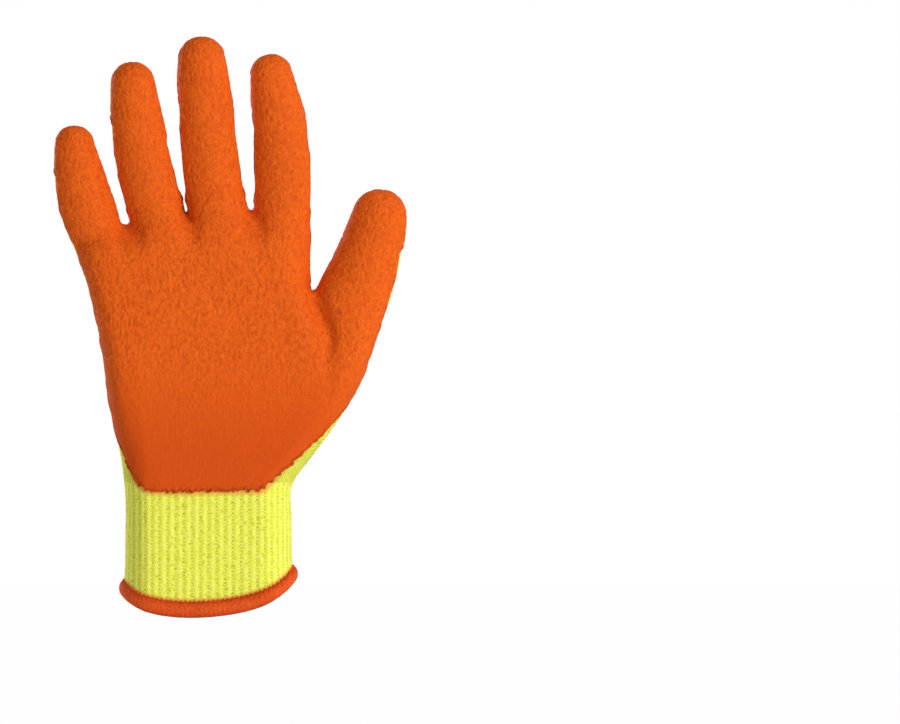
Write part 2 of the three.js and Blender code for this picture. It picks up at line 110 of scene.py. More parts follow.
# Corners on the rims where the fingers and the cuff meet the hand, and the gap in metres taken as none.
LOBE_CORNERS = 24
CUFF_CORNERS = 104
SAME_POINT = 0.00001

# Levels in millimetres: the ribs end at RIBS_END, and the cuff's even wales pass into the hand's above
# WALES_MIX. Above the next three levels each finger has its own courses, open wales and side edges. The
# cuff's open end lies below CUFF_RIM.
RIBS_END = 70.0
RIBS_FADE = 16.0
WALES_MIX = 56.0
WALES_MIX_HEIGHT = 22.0
COURSES_BEND = 110.0
FINGERS_OPEN = 118.0
SIDES_SPLIT = 125.0
CUFF_RIM = 26.0

# In metres: the level below which the latex grows smooth, the one below which its edge has the ribs'
# notches, and over what height each comes in.
CALM_LEVEL = 0.125
CALM_HEIGHT = 0.055
WRIST_LEVEL = 0.085
WRIST_HEIGHT = 0.02

# In metres, from the latex's edge: how far the yarn is soaked through and over what width that fades, how
# far the edge sinks and over what width, how wide its dark lip is, over what width the crinkle grows, and
# over what width the raggedness fades.
STAIN_START = 0.0012
STAIN_WIDTH = 0.0032
SINK = 0.0007
SINK_WIDTH = 0.0024
LIP_WIDTH = 0.0018
CRINKLE_WIDTH = 0.0015
RAGGED_WIDTH = 0.0045

# The wales are spread evenly in so many rounds at most, or until so little is left to even out.
EVEN_ROUNDS = 900
EVEN_ENOUGH = 1e-8

# In metres: how far from the knit the latex's outer face lies at least, how far from the latex's edge its
# raggedness is worked out, how deep the yarn lies under the latex's face, how far below the knit's own face
# the search for the latex starts, and how long that search is.
CLEAR_OF_KNIT = 0.00075
EDGE_REACH = 0.006
YARN_DEPTH = 0.0005
SEARCH_BELOW = 0.002
SEARCH_LENGTH = 0.006


def smooth(share):
    share = np.clip(share, 0.0, 1.0)
    return share * share * (3.0 - 2.0 * share)


def place_lobes():
    """Works out where each finger and the thumb start, how wide they are and how they point."""
    filled = KNUCKLE_SHIFT - PALM_WIDTH / 2
    for finger in LOBES:
        finger["turn"] = math.radians(finger["lean"]) + math.atan(4 * finger["bow"])
        finger["length"] = HAND_LENGTH * finger["reach"]
    for finger in FINGERS:
        across = PALM_WIDTH * finger["root"]
        finger["width"] = across / math.cos(finger["turn"])
        finger["start"] = (filled + across / 2, 0.0, CUFF_LENGTH + HAND_LENGTH * finger["rise"])
        filled += across + PALM_WIDTH * finger["web"]
    THUMB["width"] = THUMB_ROOT_WIDTH / math.cos(THUMB["turn"])
    drop = THUMB["width"] / 2 * math.sin(THUMB["turn"])
    THUMB["start"] = (
        KNUCKLE_SHIFT + PALM_WIDTH / 2 + THUMB_WEB + THUMB_ROOT_WIDTH / 2,
        THUMB_SHIFT,
        CUFF_LENGTH + THUMB_ROOT_HEIGHT - drop,
    )


place_lobes()


def centre_line(lobe, share):
    """Points of a finger's centre line at shares of its length, in millimetres."""
    along = lobe["length"] * share
    aside = lobe["bow"] * lobe["length"] * 4 * share * (1 - share)
    lean = math.radians(lobe["lean"])
    x, y, z = lobe["start"]
    return np.stack(
        [
            x + math.sin(lean) * along + math.cos(lean) * aside,
            y - math.tan(math.radians(lobe["curl"])) * along * share,
            z + math.cos(lean) * along - math.sin(lean) * aside,
        ],
        axis=-1,
    )


def half_width(lobe, share):
    """Half the width of a finger at shares of its length."""
    body = np.clip(share, 0, 1)
    root = 2 * (body - 0.5) * (body - 1)
    mid = -4 * body * (body - 1)
    tip = 2 * body * (body - 0.5)
    return lobe["width"] / 2 * (root + lobe["mid"] * mid + lobe["tip"] * tip)


def lobe_place(lobe, points):
    """For points in millimetres: how far along, across and deep in a finger, and its half width there."""
    shares = np.linspace(-0.35, 1.05, 141)
    line = centre_line(lobe, shares)
    flat = points[:, [0, 2]]
    gaps = np.linalg.norm(flat[:, None, :] - line[None, :, [0, 2]], axis=2)
    nearest = gaps.argmin(axis=1)
    share = shares[nearest]
    step = centre_line(lobe, share + 0.01) - centre_line(lobe, share - 0.01)
    axis = step / np.linalg.norm(step, axis=1, keepdims=True)
    across = np.stack([axis[:, 2], np.zeros(len(axis)), -axis[:, 0]], axis=1)
    across /= np.linalg.norm(across, axis=1, keepdims=True)
    deep = np.cross(axis, across)
    offset = points - centre_line(lobe, share)
    along = share * lobe["length"] + (offset * axis).sum(1)
    return along, (offset * across).sum(1), (offset * deep).sum(1), half_width(lobe, share)


# Wale numbers along the glove's ulnar edge, its finger crotches, its thumb crotch and its radial edge.
LINE_WALES = [0, 12, 25, 40, 54, 71]


def side_lines():
    """Points of the side edges and the crotch lines, in millimetres, each with the wale that it keeps."""
    knuckle_left = KNUCKLE_SHIFT - PALM_WIDTH / 2
    knuckle_right = KNUCKLE_SHIFT + PALM_WIDTH / 2
    half, wrist, crotch = CUFF_WIDTH / 2, CUFF_LENGTH, CUFF_LENGTH + THUMB_ROOT_HEIGHT
    knuckles = wrist + HAND_LENGTH
    thumb_right = THUMB["start"][0] + THUMB_ROOT_WIDTH / 2
    thumb_base = ((half + thumb_right) / 2, crotch - THUMB_BASE_DROP)
    routes = [
        ([(-half, 0), (-half, wrist), (knuckle_left, crotch), (knuckle_left, knuckles)], LINE_WALES[0]),
        ([(knuckle_right, crotch + 1), (knuckle_right, knuckles)], LINE_WALES[4]),
        ([(half, 0), (half, wrist), thumb_base, (thumb_right, crotch)], LINE_WALES[5]),
    ]
    shares = np.linspace(-0.1, 1, 40)
    for index, lobe in enumerate(LOBES):
        line = centre_line(lobe, shares)
        half_wide = half_width(lobe, shares) * np.sqrt(np.clip((1.02 - shares) * 6, 0, 1))
        for side in (-1, 1):
            edge = np.stack([line[:, 0] + side * half_wide, line[:, 2]], axis=1)
            routes.append((edge, LINE_WALES[index + (side > 0)]))
    places, wales = [], []
    for route, wale in routes:
        route = np.array(route, float)
        for start, end in zip(route[:-1], route[1:]):
            for share in np.linspace(0, 1, 12):
                places.append(start + (end - start) * share)
                wales.append(wale)
    return np.array(places), np.array(wales, float)


def back_side(points, normals):
    """Below 0 on the palm side and above 0 on the back, and 0 along the glove's side edges."""
    depth = points[:, 1].copy()
    for lobe in LOBES:
        along, across, deep, half = lobe_place(lobe, points)
        reach = (np.abs(across) < half + 3) & (along > -12) & (points[:, 2] > SIDES_SPLIT)
        share = smooth((along + 6) / 14) * reach
        depth += (deep - depth) * share
    return normals[:, 1] + 0.04 * depth


def spread_evenly(count, pairs, weights, held, wanted, first):
    """One number per point, each the weighted mean of its neighbours' and of what holds it."""
    one, other = pairs[:, 0], pairs[:, 1]
    whole = held + np.bincount(one, weights, count) + np.bincount(other, weights, count)
    whole = np.maximum(whole, 1e-9)

    def apply(values):
        near = np.bincount(one, weights * values[other], count)
        near += np.bincount(other, weights * values[one], count)
        return whole * values - near

    values = first.copy()
    left = held * wanted - apply(values)
    ready = left / whole
    step = ready.copy()
    energy = left @ ready
    for _ in range(EVEN_ROUNDS):
        moved = apply(step)
        size = energy / (step @ moved)
        values += size * step
        left -= size * moved
        ready = left / whole
        fresh = left @ ready
        if fresh < EVEN_ENOUGH:
            break
        step = ready + step * fresh / energy
        energy = fresh
    return values


def wale_numbers(mesh, outer):
    """Wales run evenly round each finger and the hand, from one side edge or crotch line to the next."""
    points, normals = positions(mesh) / MM, point_normals(mesh)
    pairs = np.empty(len(mesh.edges) * 2, np.int32)
    mesh.edges.foreach_get("vertices", pairs)
    pairs = pairs.reshape(-1, 2)
    areas = numbers(mesh.polygons, "area", np.float32) / MM / MM * (marks(mesh) == 0)
    areas = np.repeat(areas, numbers(mesh.polygons, "loop_total"))
    around = np.bincount(numbers(mesh.loops, "edge_index"), areas, len(pairs))
    weights = around / np.maximum(np.sum((points[pairs[:, 0]] - points[pairs[:, 1]]) ** 2, axis=1), 0.01)
    side = back_side(points, normals)
    keep = outer[pairs[:, 0]] & outer[pairs[:, 1]] & (weights > 0)
    pairs, weights = pairs[keep], weights[keep]
    crossing = side[pairs[:, 0]] * side[pairs[:, 1]] < 0
    cuts, power = pairs[crossing], weights[crossing]
    share = np.abs(side[cuts[:, 0]]) / (np.abs(side[cuts[:, 0]]) + np.abs(side[cuts[:, 1]]))
    share = np.clip(share, 0.05, 0.95)
    middle = points[cuts[:, 0]] * (1 - share[:, None]) + points[cuts[:, 1]] * share[:, None]
    places, wales = side_lines()
    near = near_tree([(place[0], 0, place[1]) for place in places])
    lines = np.array([wales[near.find((place[0], 0, place[2]))[1]] for place in middle])
    count = len(points)
    held, pull = np.zeros(count), np.zeros(count)
    for end, weight in ((cuts[:, 0], power / share), (cuts[:, 1], power / (1 - share))):
        held += np.bincount(end, weight, count)
        pull += np.bincount(end, weight * lines, count)
    wanted = np.where(held > 0, pull / np.maximum(held, 1e-9), 0)
    first = LINE_WALES[5] * np.clip((points[:, 0] + 60) / 130, 0, 1)
    return spread_evenly(count, pairs[~crossing], weights[~crossing], held, wanted, first)


def cuff_wales(points):
    """Wales run evenly round the straight cuff, from its ulnar to its radial edge."""
    flat, deep = CUFF_WIDTH / 2 - EDGE_RADIUS, CUFF_DEPTH / 2
    bend = math.pi / 2 * math.sqrt((EDGE_RADIUS ** 2 + deep ** 2) / 2)
    beyond = np.maximum(np.abs(points[:, 0]) - flat, 0)
    turn = np.arctan2(np.abs(points[:, 1]) / deep, beyond / EDGE_RADIUS) / (math.pi / 2)
    half_way = np.where(beyond > 0, flat + bend * (1 - turn), np.abs(points[:, 0]))
    share = 0.5 + 0.5 * np.sign(points[:, 0]) * half_way / (flat + bend)
    return LINE_WALES[5] * share


def course_numbers(points, course):
    """Courses lie level on the hand and square to each finger."""
    level = points[:, 2].copy()
    for lobe in LOBES:
        along, across, _, half = lobe_place(lobe, points)
        lean = 26 if lobe is THUMB else 16
        reach = (np.abs(across) < half + 3) & (points[:, 2] > COURSES_BEND)
        share = smooth((along + lean * 0.6) / lean) * reach
        level += (lobe["start"][2] + along - level) * share
    return level / course


def deselect():
    if bpy.context.object and bpy.context.object.mode != "OBJECT":
        bpy.ops.object.mode_set(mode="OBJECT")
    bpy.ops.object.select_all(action="DESELECT")


def activate(piece):
    deselect()
    piece.select_set(True)
    bpy.context.view_layer.objects.active = piece


def copy_node(name, node):
    """A new object with a copy of a solid's mesh, its triangles joined at their corners."""
    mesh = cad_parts[node].data.copy()
    mesh.materials.clear()
    copy = bpy.data.objects.new(name, mesh)
    bpy.context.scene.collection.objects.link(copy)
    merge_doubles(copy, SAME_POINT)
    return copy


def edit_all(piece, operator, **settings):
    """Runs an operator of edit mode on all of a piece."""
    activate(piece)
    bpy.ops.object.mode_set(mode="EDIT")
    bpy.ops.mesh.select_all(action="SELECT")
    operator(**settings)
    bpy.ops.object.mode_set(mode="OBJECT")


def merge_doubles(piece, distance):
    edit_all(piece, bpy.ops.mesh.remove_doubles, threshold=distance)


def numbers(items, name, kind=np.int32):
    """What each of a mesh's items holds under a name."""
    found = np.empty(len(items), kind)
    items.foreach_get(name, found)
    return found


def vectors(items, name):
    found = np.empty(len(items) * 3, np.float32)
    items.foreach_get(name, found)
    return found.reshape(-1, 3).astype(float)


def positions(mesh):
    return vectors(mesh.vertices, "co")


def move_to(mesh, places):
    mesh.vertices.foreach_set("co", places.astype(np.float32).ravel())
    mesh.update()


def point_normals(mesh):
    return vectors(mesh.vertex_normals, "vector")


def face_centres(mesh):
    return vectors(mesh.polygons, "center")


def face_normals(mesh):
    return vectors(mesh.polygons, "normal")


def near_tree(places):
    """A search for the nearest of these places."""
    near = KDTree(len(places))
    for index, place in enumerate(places):
        near.insert(place, index)
    near.balance()
    return near


def tree_of(piece):
    mesh = piece.data
    return BVHTree.FromPolygons([v.co for v in mesh.vertices], [p.vertices for p in mesh.polygons])


def delete_faces(piece, faces):
    activate(piece)
    chosen = np.zeros(len(piece.data.polygons), bool)
    chosen[list(faces)] = True
    select_faces(piece.data, chosen)
    # Set before edit mode, since by corners the webs between two rims would be chosen too.
    bpy.context.tool_settings.mesh_select_mode = (False, False, True)
    bpy.ops.object.mode_set(mode="EDIT")
    bpy.ops.mesh.delete(type="FACE")
    bpy.ops.mesh.select_mode(type="VERT")
    bpy.ops.object.mode_set(mode="OBJECT")


def meet(hand, piece, corners):
    """Pairs the corners of a piece's open end with the hand's, moves both halfway and lists both rims."""
    tree = tree_of(hand)
    near = near_tree([vertex.co for vertex in hand.data.vertices])
    rim = sorted(piece.data.vertices, key=lambda v: tree.find_nearest(v.co)[3])[:corners]
    pairs = sorted((far, v.index, other) for v in rim for _, other, far in near.find_n(v.co, 8))
    found, used = {}, set()
    for _, own, other in pairs:
        if own not in found and other not in used:
            found[own] = other
            used.add(other)
    if len(found) != corners:
        raise RuntimeError(f"{piece.name} meets the hand at {len(found)} corners, not {corners}")
    ends = []
    for mesh, chosen in ((hand.data, used), (piece.data, set(found))):
        ends.append([f.index for f in mesh.polygons if all(v in chosen for v in f.vertices)])
    for own, other in found.items():
        middle = (piece.data.vertices[own].co + hand.data.vertices[other].co) / 2
        piece.data.vertices[own].co = middle
        hand.data.vertices[other].co = middle
    return ends


def to_quads(piece):
    bends = {"face_threshold": math.radians(60), "shape_threshold": math.radians(70)}
    edit_all(piece, bpy.ops.mesh.tris_convert_to_quads, **bends)


def round_out(piece, levels, rounds=2):
    """Subdivides smoothly, first pushing the corners out so that the smooth surface passes near them."""
    wanted = positions(piece.data)
    modifier = piece.modifiers.new("round", "SUBSURF")
    modifier.levels = levels
    modifier.render_levels = levels
    for _ in range(rounds):
        shown = piece.evaluated_get(bpy.context.evaluated_depsgraph_get())
        reached = positions(shown.data)[: len(wanted)]
        move_to(piece.data, positions(piece.data) + 0.9 * (wanted - reached))
        bpy.context.view_layer.update()
    activate(piece)
    bpy.ops.object.modifier_apply(modifier=modifier.name)


def refine(piece, chosen, cuts):
    """Divides the chosen faces into smaller ones."""
    activate(piece)
    mesh = piece.data
    mesh.polygons.foreach_set("select", chosen)
    bpy.ops.object.mode_set(mode="EDIT")
    bpy.ops.mesh.select_mode(type="FACE")
    bpy.ops.mesh.subdivide(number_cuts=cuts, smoothness=1.0)
    bpy.ops.mesh.select_mode(type="VERT")
    bpy.ops.object.mode_set(mode="OBJECT")


def select_faces(mesh, chosen):
    for vertex in mesh.vertices:
        vertex.select = False
    for edge in mesh.edges:
        edge.select = False
    mesh.polygons.foreach_set("select", chosen)


def marks(mesh):
    return numbers(mesh.polygons, "material_index")


def read_mask(mesh, name):
    return numbers(mesh.attributes[name].data, "value", np.float32).astype(float)


def points_of(mesh, chosen):
    """True for each vertex that a chosen face uses."""
    flag = np.zeros(len(mesh.vertices), bool)
    used = np.repeat(chosen, numbers(mesh.polygons, "loop_total"))
    flag[numbers(mesh.loops, "vertex_index")[used]] = True
    return flag


def add_map(mesh, name, across, up, turn=math.inf):
    """Lays a map on the corners. A face over the seam, where across falls back by turn, gets it added."""
    layer = mesh.uv_layers.new(name=name)
    loops = numbers(mesh.loops, "vertex_index")
    across = across[loops]
    highest = np.maximum.reduceat(across, numbers(mesh.polygons, "loop_start"))
    highest = np.repeat(highest, numbers(mesh.polygons, "loop_total"))
    over = highest - across > turn / 2
    across[over] += turn
    layer.data.foreach_set("uv", np.stack([across, up[loops]], axis=1).astype(np.float32).ravel())


def add_mask(mesh, name, values):
    layer = mesh.attributes.new(name, "FLOAT", "POINT")
    layer.data.foreach_set("value", values.astype(np.float32))


def finish_piece(piece, material, slot, *nodes):
    piece.data.materials.clear()
    piece.data.materials.append(material)
    piece.data.polygons.foreach_set("material_index", np.zeros(len(piece.data.polygons), np.int32))
    activate(piece)
    bpy.ops.object.shade_smooth()
    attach(piece, "root")
    if nodes:
        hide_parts(*nodes)


def wrinkle(place, scale, stretch):
    """Ridged noise between 0 and 1 at a place in metres, with ridges drawn out along Z by stretch."""
    at = Vector((place[0] / scale, place[1] / scale, place[2] / scale / stretch))
    return 1.0 - min(1.0, 2.2 * abs(noise.noise(at)))


def math_node(operation, turned=False):
    """A method that adds a Math node for a value and the others, which come first if it is turned."""

    def method(self, *others):
        values = (*others, self) if turned else (self, *others)
        return self.finish.node("ShaderNodeMath", {"operation": operation}, values)

    return method


class Value:
    """A shader value: Python arithmetic on it adds Math nodes."""

    def __init__(self, finish, socket):
        self.finish = finish
        self.socket = socket

    __add__ = math_node("ADD")
    __radd__ = math_node("ADD", True)
    __sub__ = math_node("SUBTRACT")
    __rsub__ = math_node("SUBTRACT", True)
    __mul__ = math_node("MULTIPLY")
    __rmul__ = math_node("MULTIPLY", True)
    __pow__ = math_node("POWER")
    __abs__ = math_node("ABSOLUTE")
    fraction = math_node("FRACT")
    sine = math_node("SINE")
    least = math_node("MINIMUM")
    most = math_node("MAXIMUM")


def opaque(colour):
    return (colour[0], colour[1], colour[2], 1.0)


class Finish:
    """A material or a world that is built from expressions."""

    def __init__(self, owner, output="ShaderNodeOutputMaterial", shader="ShaderNodeBsdfPrincipled"):
        self.owner = owner
        owner.use_nodes = True
        self.nodes = owner.node_tree.nodes
        self.links = owner.node_tree.links
        self.nodes.clear()
        self.output = self.nodes.new(output)
        self.shader = self.nodes.new(shader)
        self.links.new(self.shader.outputs[0], self.output.inputs["Surface"])

    def node(self, kind, settings=None, values=(), out=0):
        """Adds a node with its settings, then its input values or links, by position or by name."""
        made = self.nodes.new(kind)
        for key, value in (settings or {}).items():
            if key == "stops":
                ramp = made.color_ramp
                while len(ramp.elements) > 1:
                    ramp.elements.remove(ramp.elements[-1])
                for index, (place, colour) in enumerate(value):
                    stop = ramp.elements[0] if index == 0 else ramp.elements.new(place)
                    stop.position = place
                    stop.color = opaque(colour)
            else:
                setattr(made, key, value)
        pairs = values.items() if isinstance(values, dict) else enumerate(values)
        for key, value in pairs:
            if isinstance(value, Value):
                self.links.new(value.socket, made.inputs[key])
            else:
                made.inputs[key].default_value = value
        return Value(self, made.outputs[out])

    def feed(self, socket, value):
        if isinstance(value, Value):
            self.links.new(value.socket, self.shader.inputs[socket])
        else:
            self.shader.inputs[socket].default_value = value

    def show_camera(self, other, share=1.0):
        """Mixes another shader into what the camera sees, and into nothing else."""
        ray = self.node("ShaderNodeLightPath", out="Is Camera Ray")
        own = Value(self, self.shader.outputs[0])
        mixed = self.node("ShaderNodeMixShader", None, {0: ray * share, 1: own, 2: other})
        self.links.new(mixed.socket, self.output.inputs["Surface"])

    def ramp(self, value, *stops):
        """A colour ramp over stops, each a place and a colour."""
        return self.node("ShaderNodeValToRGB", {"stops": stops}, [value])

    def object_place(self):
        return self.node("ShaderNodeTexCoord", out="Object")

    def mapped(self, name):
        """The two numbers of one of the piece's maps."""
        across = self.node("ShaderNodeSeparateXYZ", None, [self.node("ShaderNodeUVMap", {"uv_map": name})])
        return across, Value(self, across.socket.node.outputs[1])

    def mask(self, name):
        return self.node("ShaderNodeAttribute", {"attribute_name": name}, out="Fac")

    def noise(self, place, scale, detail=2.0, roughness=0.5):
        values = {"Vector": place, "Scale": scale, "Detail": detail, "Roughness": roughness}
        return self.node("ShaderNodeTexNoise", None, values, out="Fac")

    def mix(self, share, first, second):
        """Mixes a colour with a fixed one. The node's colours are its inputs 6 and 7, and its output 2."""
        values = {0: share, 6: first, 7: opaque(second)}
        return self.node("ShaderNodeMix", {"data_type": "RGBA"}, values, out=2)

    def stretch(self, place, scale):
        return self.node("ShaderNodeMapping", None, {"Vector": place, "Scale": scale})

    def bump(self, height, distance, strength=1.0, under=None):
        values = {"Strength": strength, "Distance": distance, "Height": height}
        if under is not None:
            values["Normal"] = under
        return self.node("ShaderNodeBump", None, values)


def shade(colour, amount):
    return tuple(min(1.0, part * amount) for part in colour)


def knit_finish(settings, ribbed):
    """Matt yellow yarn: heather strokes on the ribs with painted shade in their ruts, or V stitches with
    painted shade in the gaps between their wales.
    """
    finish = Finish(bpy.data.materials.new("ribbed_knit" if ribbed else "plain_knit"))
    yarn = tuple(settings.yarn_colour)
    place = finish.object_place()
    wale, course = finish.mapped("knit")
    wander = finish.noise(place, 260.0, 2.0, 0.5) - 0.5
    fleck = finish.noise(place, 1050.0, 3.0, 0.75)
    clump = finish.noise(place, 330.0, 2.0, 0.6)
    if ribbed:
        crest = 1 - finish.mask("rib")
        heather = finish.noise(place, 640.0, 2.0, 0.7)
        slant = (course + crest * 1.1 + wander * 1.3).fraction()
        stroke = 1 - (abs(slant - 0.5) * 2.0) ** 1.5
        height = stroke * (0.2 + crest * 0.25) + heather * 0.8
        # light is the heather's own tone, with a small painted highlight on the strokes along the rib
        # crests.
        light = heather * 1.3 + stroke * crest * 0.2 + fleck * 0.5 - 0.42
        speck = (heather * -2.4 + 0.9).most(0.0)
        # Painted shade in the ruts between the ribs; speck is the heather's own dark flecks.
        rut_shade = (1 - crest) ** 2.0
        dark = (rut_shade * (1 - stroke) * (clump * 0.8) + rut_shade * 0.05 + speck * 0.6).least(1.0)
    else:
        aside = abs(wale.fraction() - 0.5)
        leg = 1 - (abs(aside - 0.25) * 4.0) ** 2.0
        run = (course + aside * 1.3 + wander * 0.25).fraction()
        loop = 1 - (abs(run - 0.5) * 2.0) ** 2.5
        dots = ((run - 0.5) * 2.0) ** 2.0
        height = leg * (0.4 + 0.6 * loop)
        cloud = finish.noise(place, 60.0, 3.0, 0.6)
        light = fleck * 0.8 + clump * 0.5 + cloud * 0.15 - 0.27
        # Painted shade in the gaps between the wales, dotted at each course and strongest where the gap mask
        # opens them.
        between = (aside * 2.0) ** 4.0
        groove_shade = between * (0.3 + 0.9 * dots) * (0.55 + clump * 0.9)
        dark = (groove_shade * finish.mask("gap") * 1.25).least(1.0)
    pale = (min(1, yarn[0] * 1.1), min(1, yarn[1] * 1.08), yarn[2] * 2.2)
    tone = finish.ramp(light, (0.0, shade(yarn, 0.5)), (0.45, yarn), (0.8, pale))
    # dark mixes in the gap colour: painted shade in the gaps and the ruts, and on the ribs also the
    # heather's own dark specks.
    base = finish.mix(dark, tone, settings.gap_shade_and_speck_colour)
    stain = finish.mask("stain")
    soaked = (stain * 2.2 - height * 0.3 - 0.75 + (fleck - 0.5) * 1.2).most(0.0).least(1.0)
    finish.feed("Base Color", finish.mix(soaked * 0.85, base, settings.stain_colour))
    finish.feed("Roughness", 0.92)
    finish.feed("Specular IOR Level", 0.05)
    finish.feed("Sheen Weight", 0.1)
    finish.feed("Sheen Roughness", 0.5)
    fuzz = finish.noise(place, 2600.0, 2.0, 0.6)
    first = finish.bump(height * 0.6 + clump * 0.5 + fleck * 0.3, 0.0006, 0.9)
    finish.feed("Normal", finish.bump(fuzz, 0.00015, 0.5, first))
    return finish.owner


def latex_finish(settings):
    """Matt orange latex: a fine crinkle with a pale painted highlight on its crests and painted shade in its
    deep valleys, smoother at the wrist.
    """
    finish = Finish(bpy.data.materials.new("crinkled_latex"))
    colour = tuple(settings.latex_colour)
    place = finish.object_place()
    cloud = finish.noise(place, 35.0, 4.0, 0.6)
    grain = finish.noise(place, 1000.0, 3.0, 0.65)
    dimple = finish.noise(finish.stretch(place, (1.0, 1.0, 0.85)), 600.0, 2.0, 0.6)
    low = finish.mask("low")
    ridge = finish.mask("ridge")
    calm = 1 - low * 0.8
    # relief and level paint the crinkle's light and shade by its heights: painted shade in the valleys and
    # on the slopes, and a pale painted highlight on the crests, with a slow random tone from cloud.
    relief = (ridge * 0.4 + dimple * 0.75 + grain * 0.5 - 0.89) * calm
    valley_shade = (colour[0] * 0.7, colour[1] * 0.6, colour[2] * 0.7)
    slope_shade = (colour[0] * 0.91, colour[1] * 0.87, colour[2])
    crest = (min(1, colour[0] * 1.16), colour[1] * 1.5, colour[2] * 2.0)
    level = relief + 0.5 + (cloud - 0.5) * 0.25
    tone = finish.ramp(level, (0.0, valley_shade), (0.36, slope_shade), (0.5, colour), (1.0, crest))
    # Towards the wrist the latex is drawn darker and redder.
    low_palm_tone = (colour[0] * 0.79, colour[1] * 0.62, colour[2] * 0.7)
    deep = finish.mix(low * 0.85, tone, low_palm_tone)
    dark = (colour[0] * 0.55, colour[1] * 0.55, colour[2] * 0.8)
    finish.feed("Base Color", finish.mix(finish.mask("lip") * 0.6, deep, dark))
    finish.feed("Roughness", 0.5 + grain * 0.25)
    finish.feed("Specular IOR Level", 0.08)
    height = (dimple * 0.9 + grain * 0.5) * (1 - low * 0.7)
    finish.feed("Normal", finish.bump(height, 0.0009, 0.9))
    return finish.owner


def thread_finish(settings):
    """Reddish orange threads that lie side by side over the edge, with dark gaps between their bundles,
    bumped and with painted shade, and painted shade towards the roll's top and bottom.
    """
    finish = Finish(bpy.data.materials.new("overlock_thread"))
    colour = tuple(settings.thread_colour)
    place = finish.object_place()
    along, up = finish.mapped("threads")
    plies = finish.noise(place, 1300.0, 2.0, 0.6)
    cloud = finish.noise(place, 120.0, 2.0, 0.5)
    wander = (finish.noise(place, 400.0, 2.0, 0.5) - 0.5) * 0.35
    bundle = ((along + up * 0.45 + wander * 0.5 + 0.5).fraction() - 0.5) * 2.0
    gap = (bundle ** 2.0) ** 1.6
    strand = ((along * 4.0 + up * 1.6 + wander * 2.0) * (2 * math.pi)).sine() * 0.5 + 0.5
    height = 1 - gap
    ends = ((up - 0.5) * 2.0) ** 2.0
    # light is mostly the plies' own random tone, with a painted highlight on the bundles' crowns and
    # strands, and painted shade in the gaps and at the roll's top and bottom edges (ends).
    light = height * 0.1 + strand * 0.14 + plies * 1.0 + cloud * 0.3 - ends * 0.3 - 0.2
    pale = (min(1, colour[0] * 1.35), colour[1] * 2.1, colour[2] * 2.6)
    tone = finish.ramp(light, (0.0, shade(colour, 0.42)), (0.5, shade(colour, 0.95)), (1.0, pale))
    finish.feed("Base Color", tone)
    finish.feed("Roughness", 0.8)
    finish.feed("Specular IOR Level", 0.12)
    finish.feed("Normal", finish.bump(height * 0.25 + strand * 0.5 + plies * 0.6, 0.0004, 0.8))
    return finish.owner


class GloveKnitSettings(bpy.types.PropertyGroup):
    """Sizes and colours of the knit."""

    ribs: bpy.props.FloatProperty(name="Ribs", description="Ribs across one face of the cuff", default=27.0)
    course: bpy.props.FloatProperty(
        name="Course", description="Height of a row of stitches in millimetres", default=1.55)
    rib: bpy.props.FloatProperty(
        name="Rib depth", description="How far the cuff's ribs stand out", default=0.00009, unit="LENGTH")
    wale: bpy.props.FloatProperty(
        name="Wale depth", description="How far the hand's wales stand out", default=0.00018, unit="LENGTH")
    yarn_colour: bpy.props.FloatVectorProperty(
        name="Yarn", description="Colour of the yarn", subtype="COLOR", default=(0.93, 0.96, 0.085))
    # Painted shade in the gaps between the stitches and in the ribs' ruts, and also the colour of the ribs'
    # real dark heather specks.
    gap_shade_and_speck_colour: bpy.props.FloatVectorProperty(
        name="Gaps", description="Colour between the stitches", subtype="COLOR", default=(0.16, 0.17, 0.02))
    stain_colour: bpy.props.FloatVectorProperty(
        name="Stain", description="Colour of the yarn that the latex has soaked", subtype="COLOR",
        default=(0.9, 0.42, 0.06))


class GloveLatexSettings(bpy.types.PropertyGroup):
    """Sizes and colour of the latex."""

    crinkle: bpy.props.FloatProperty(
        name="Crinkle height", description="Height of the latex's wrinkles", default=0.0005, unit="LENGTH")
    spread: bpy.props.FloatProperty(
        name="Crinkle width", description="Distance between wrinkles", default=0.0021, unit="LENGTH")
    ragged: bpy.props.FloatProperty(
        name="Ragged edge", description="How far the latex's edge wanders", default=0.0011, unit="LENGTH")
    latex_colour: bpy.props.FloatVectorProperty(
        name="Latex", description="Colour of the latex", subtype="COLOR", default=(0.865, 0.128, 0.008))


class GloveHemSettings(bpy.types.PropertyGroup):
    """Sizes and colour of the overlocked hem."""

    pitch: bpy.props.FloatProperty(
        name="Stitch pitch", description="Distance between stitches", default=0.0021, unit="LENGTH")
    thread: bpy.props.FloatProperty(
        name="Thread", description="Radius of the thread", default=0.0004, unit="LENGTH")
    thread_colour: bpy.props.FloatVectorProperty(
        name="Thread colour", description="Colour of the thread", subtype="COLOR",
        default=(0.9, 0.095, 0.0115))


class GloveStageSettings(bpy.types.PropertyGroup):
    """The camera and the lights."""

    distance: bpy.props.FloatProperty(
        name="Distance", description="From the camera to the glove", default=2.6, unit="LENGTH")
    frame_width: bpy.props.FloatProperty(
        name="Frame width", description="Width of what the camera sees at the glove", default=0.4055,
        unit="LENGTH")
    key: bpy.props.FloatProperty(
        name="Key light", description="Power of the key light", default=13.5, unit="POWER")
    fill: bpy.props.FloatProperty(
        name="Fill", description="Strength of the light from all round", default=0.46)


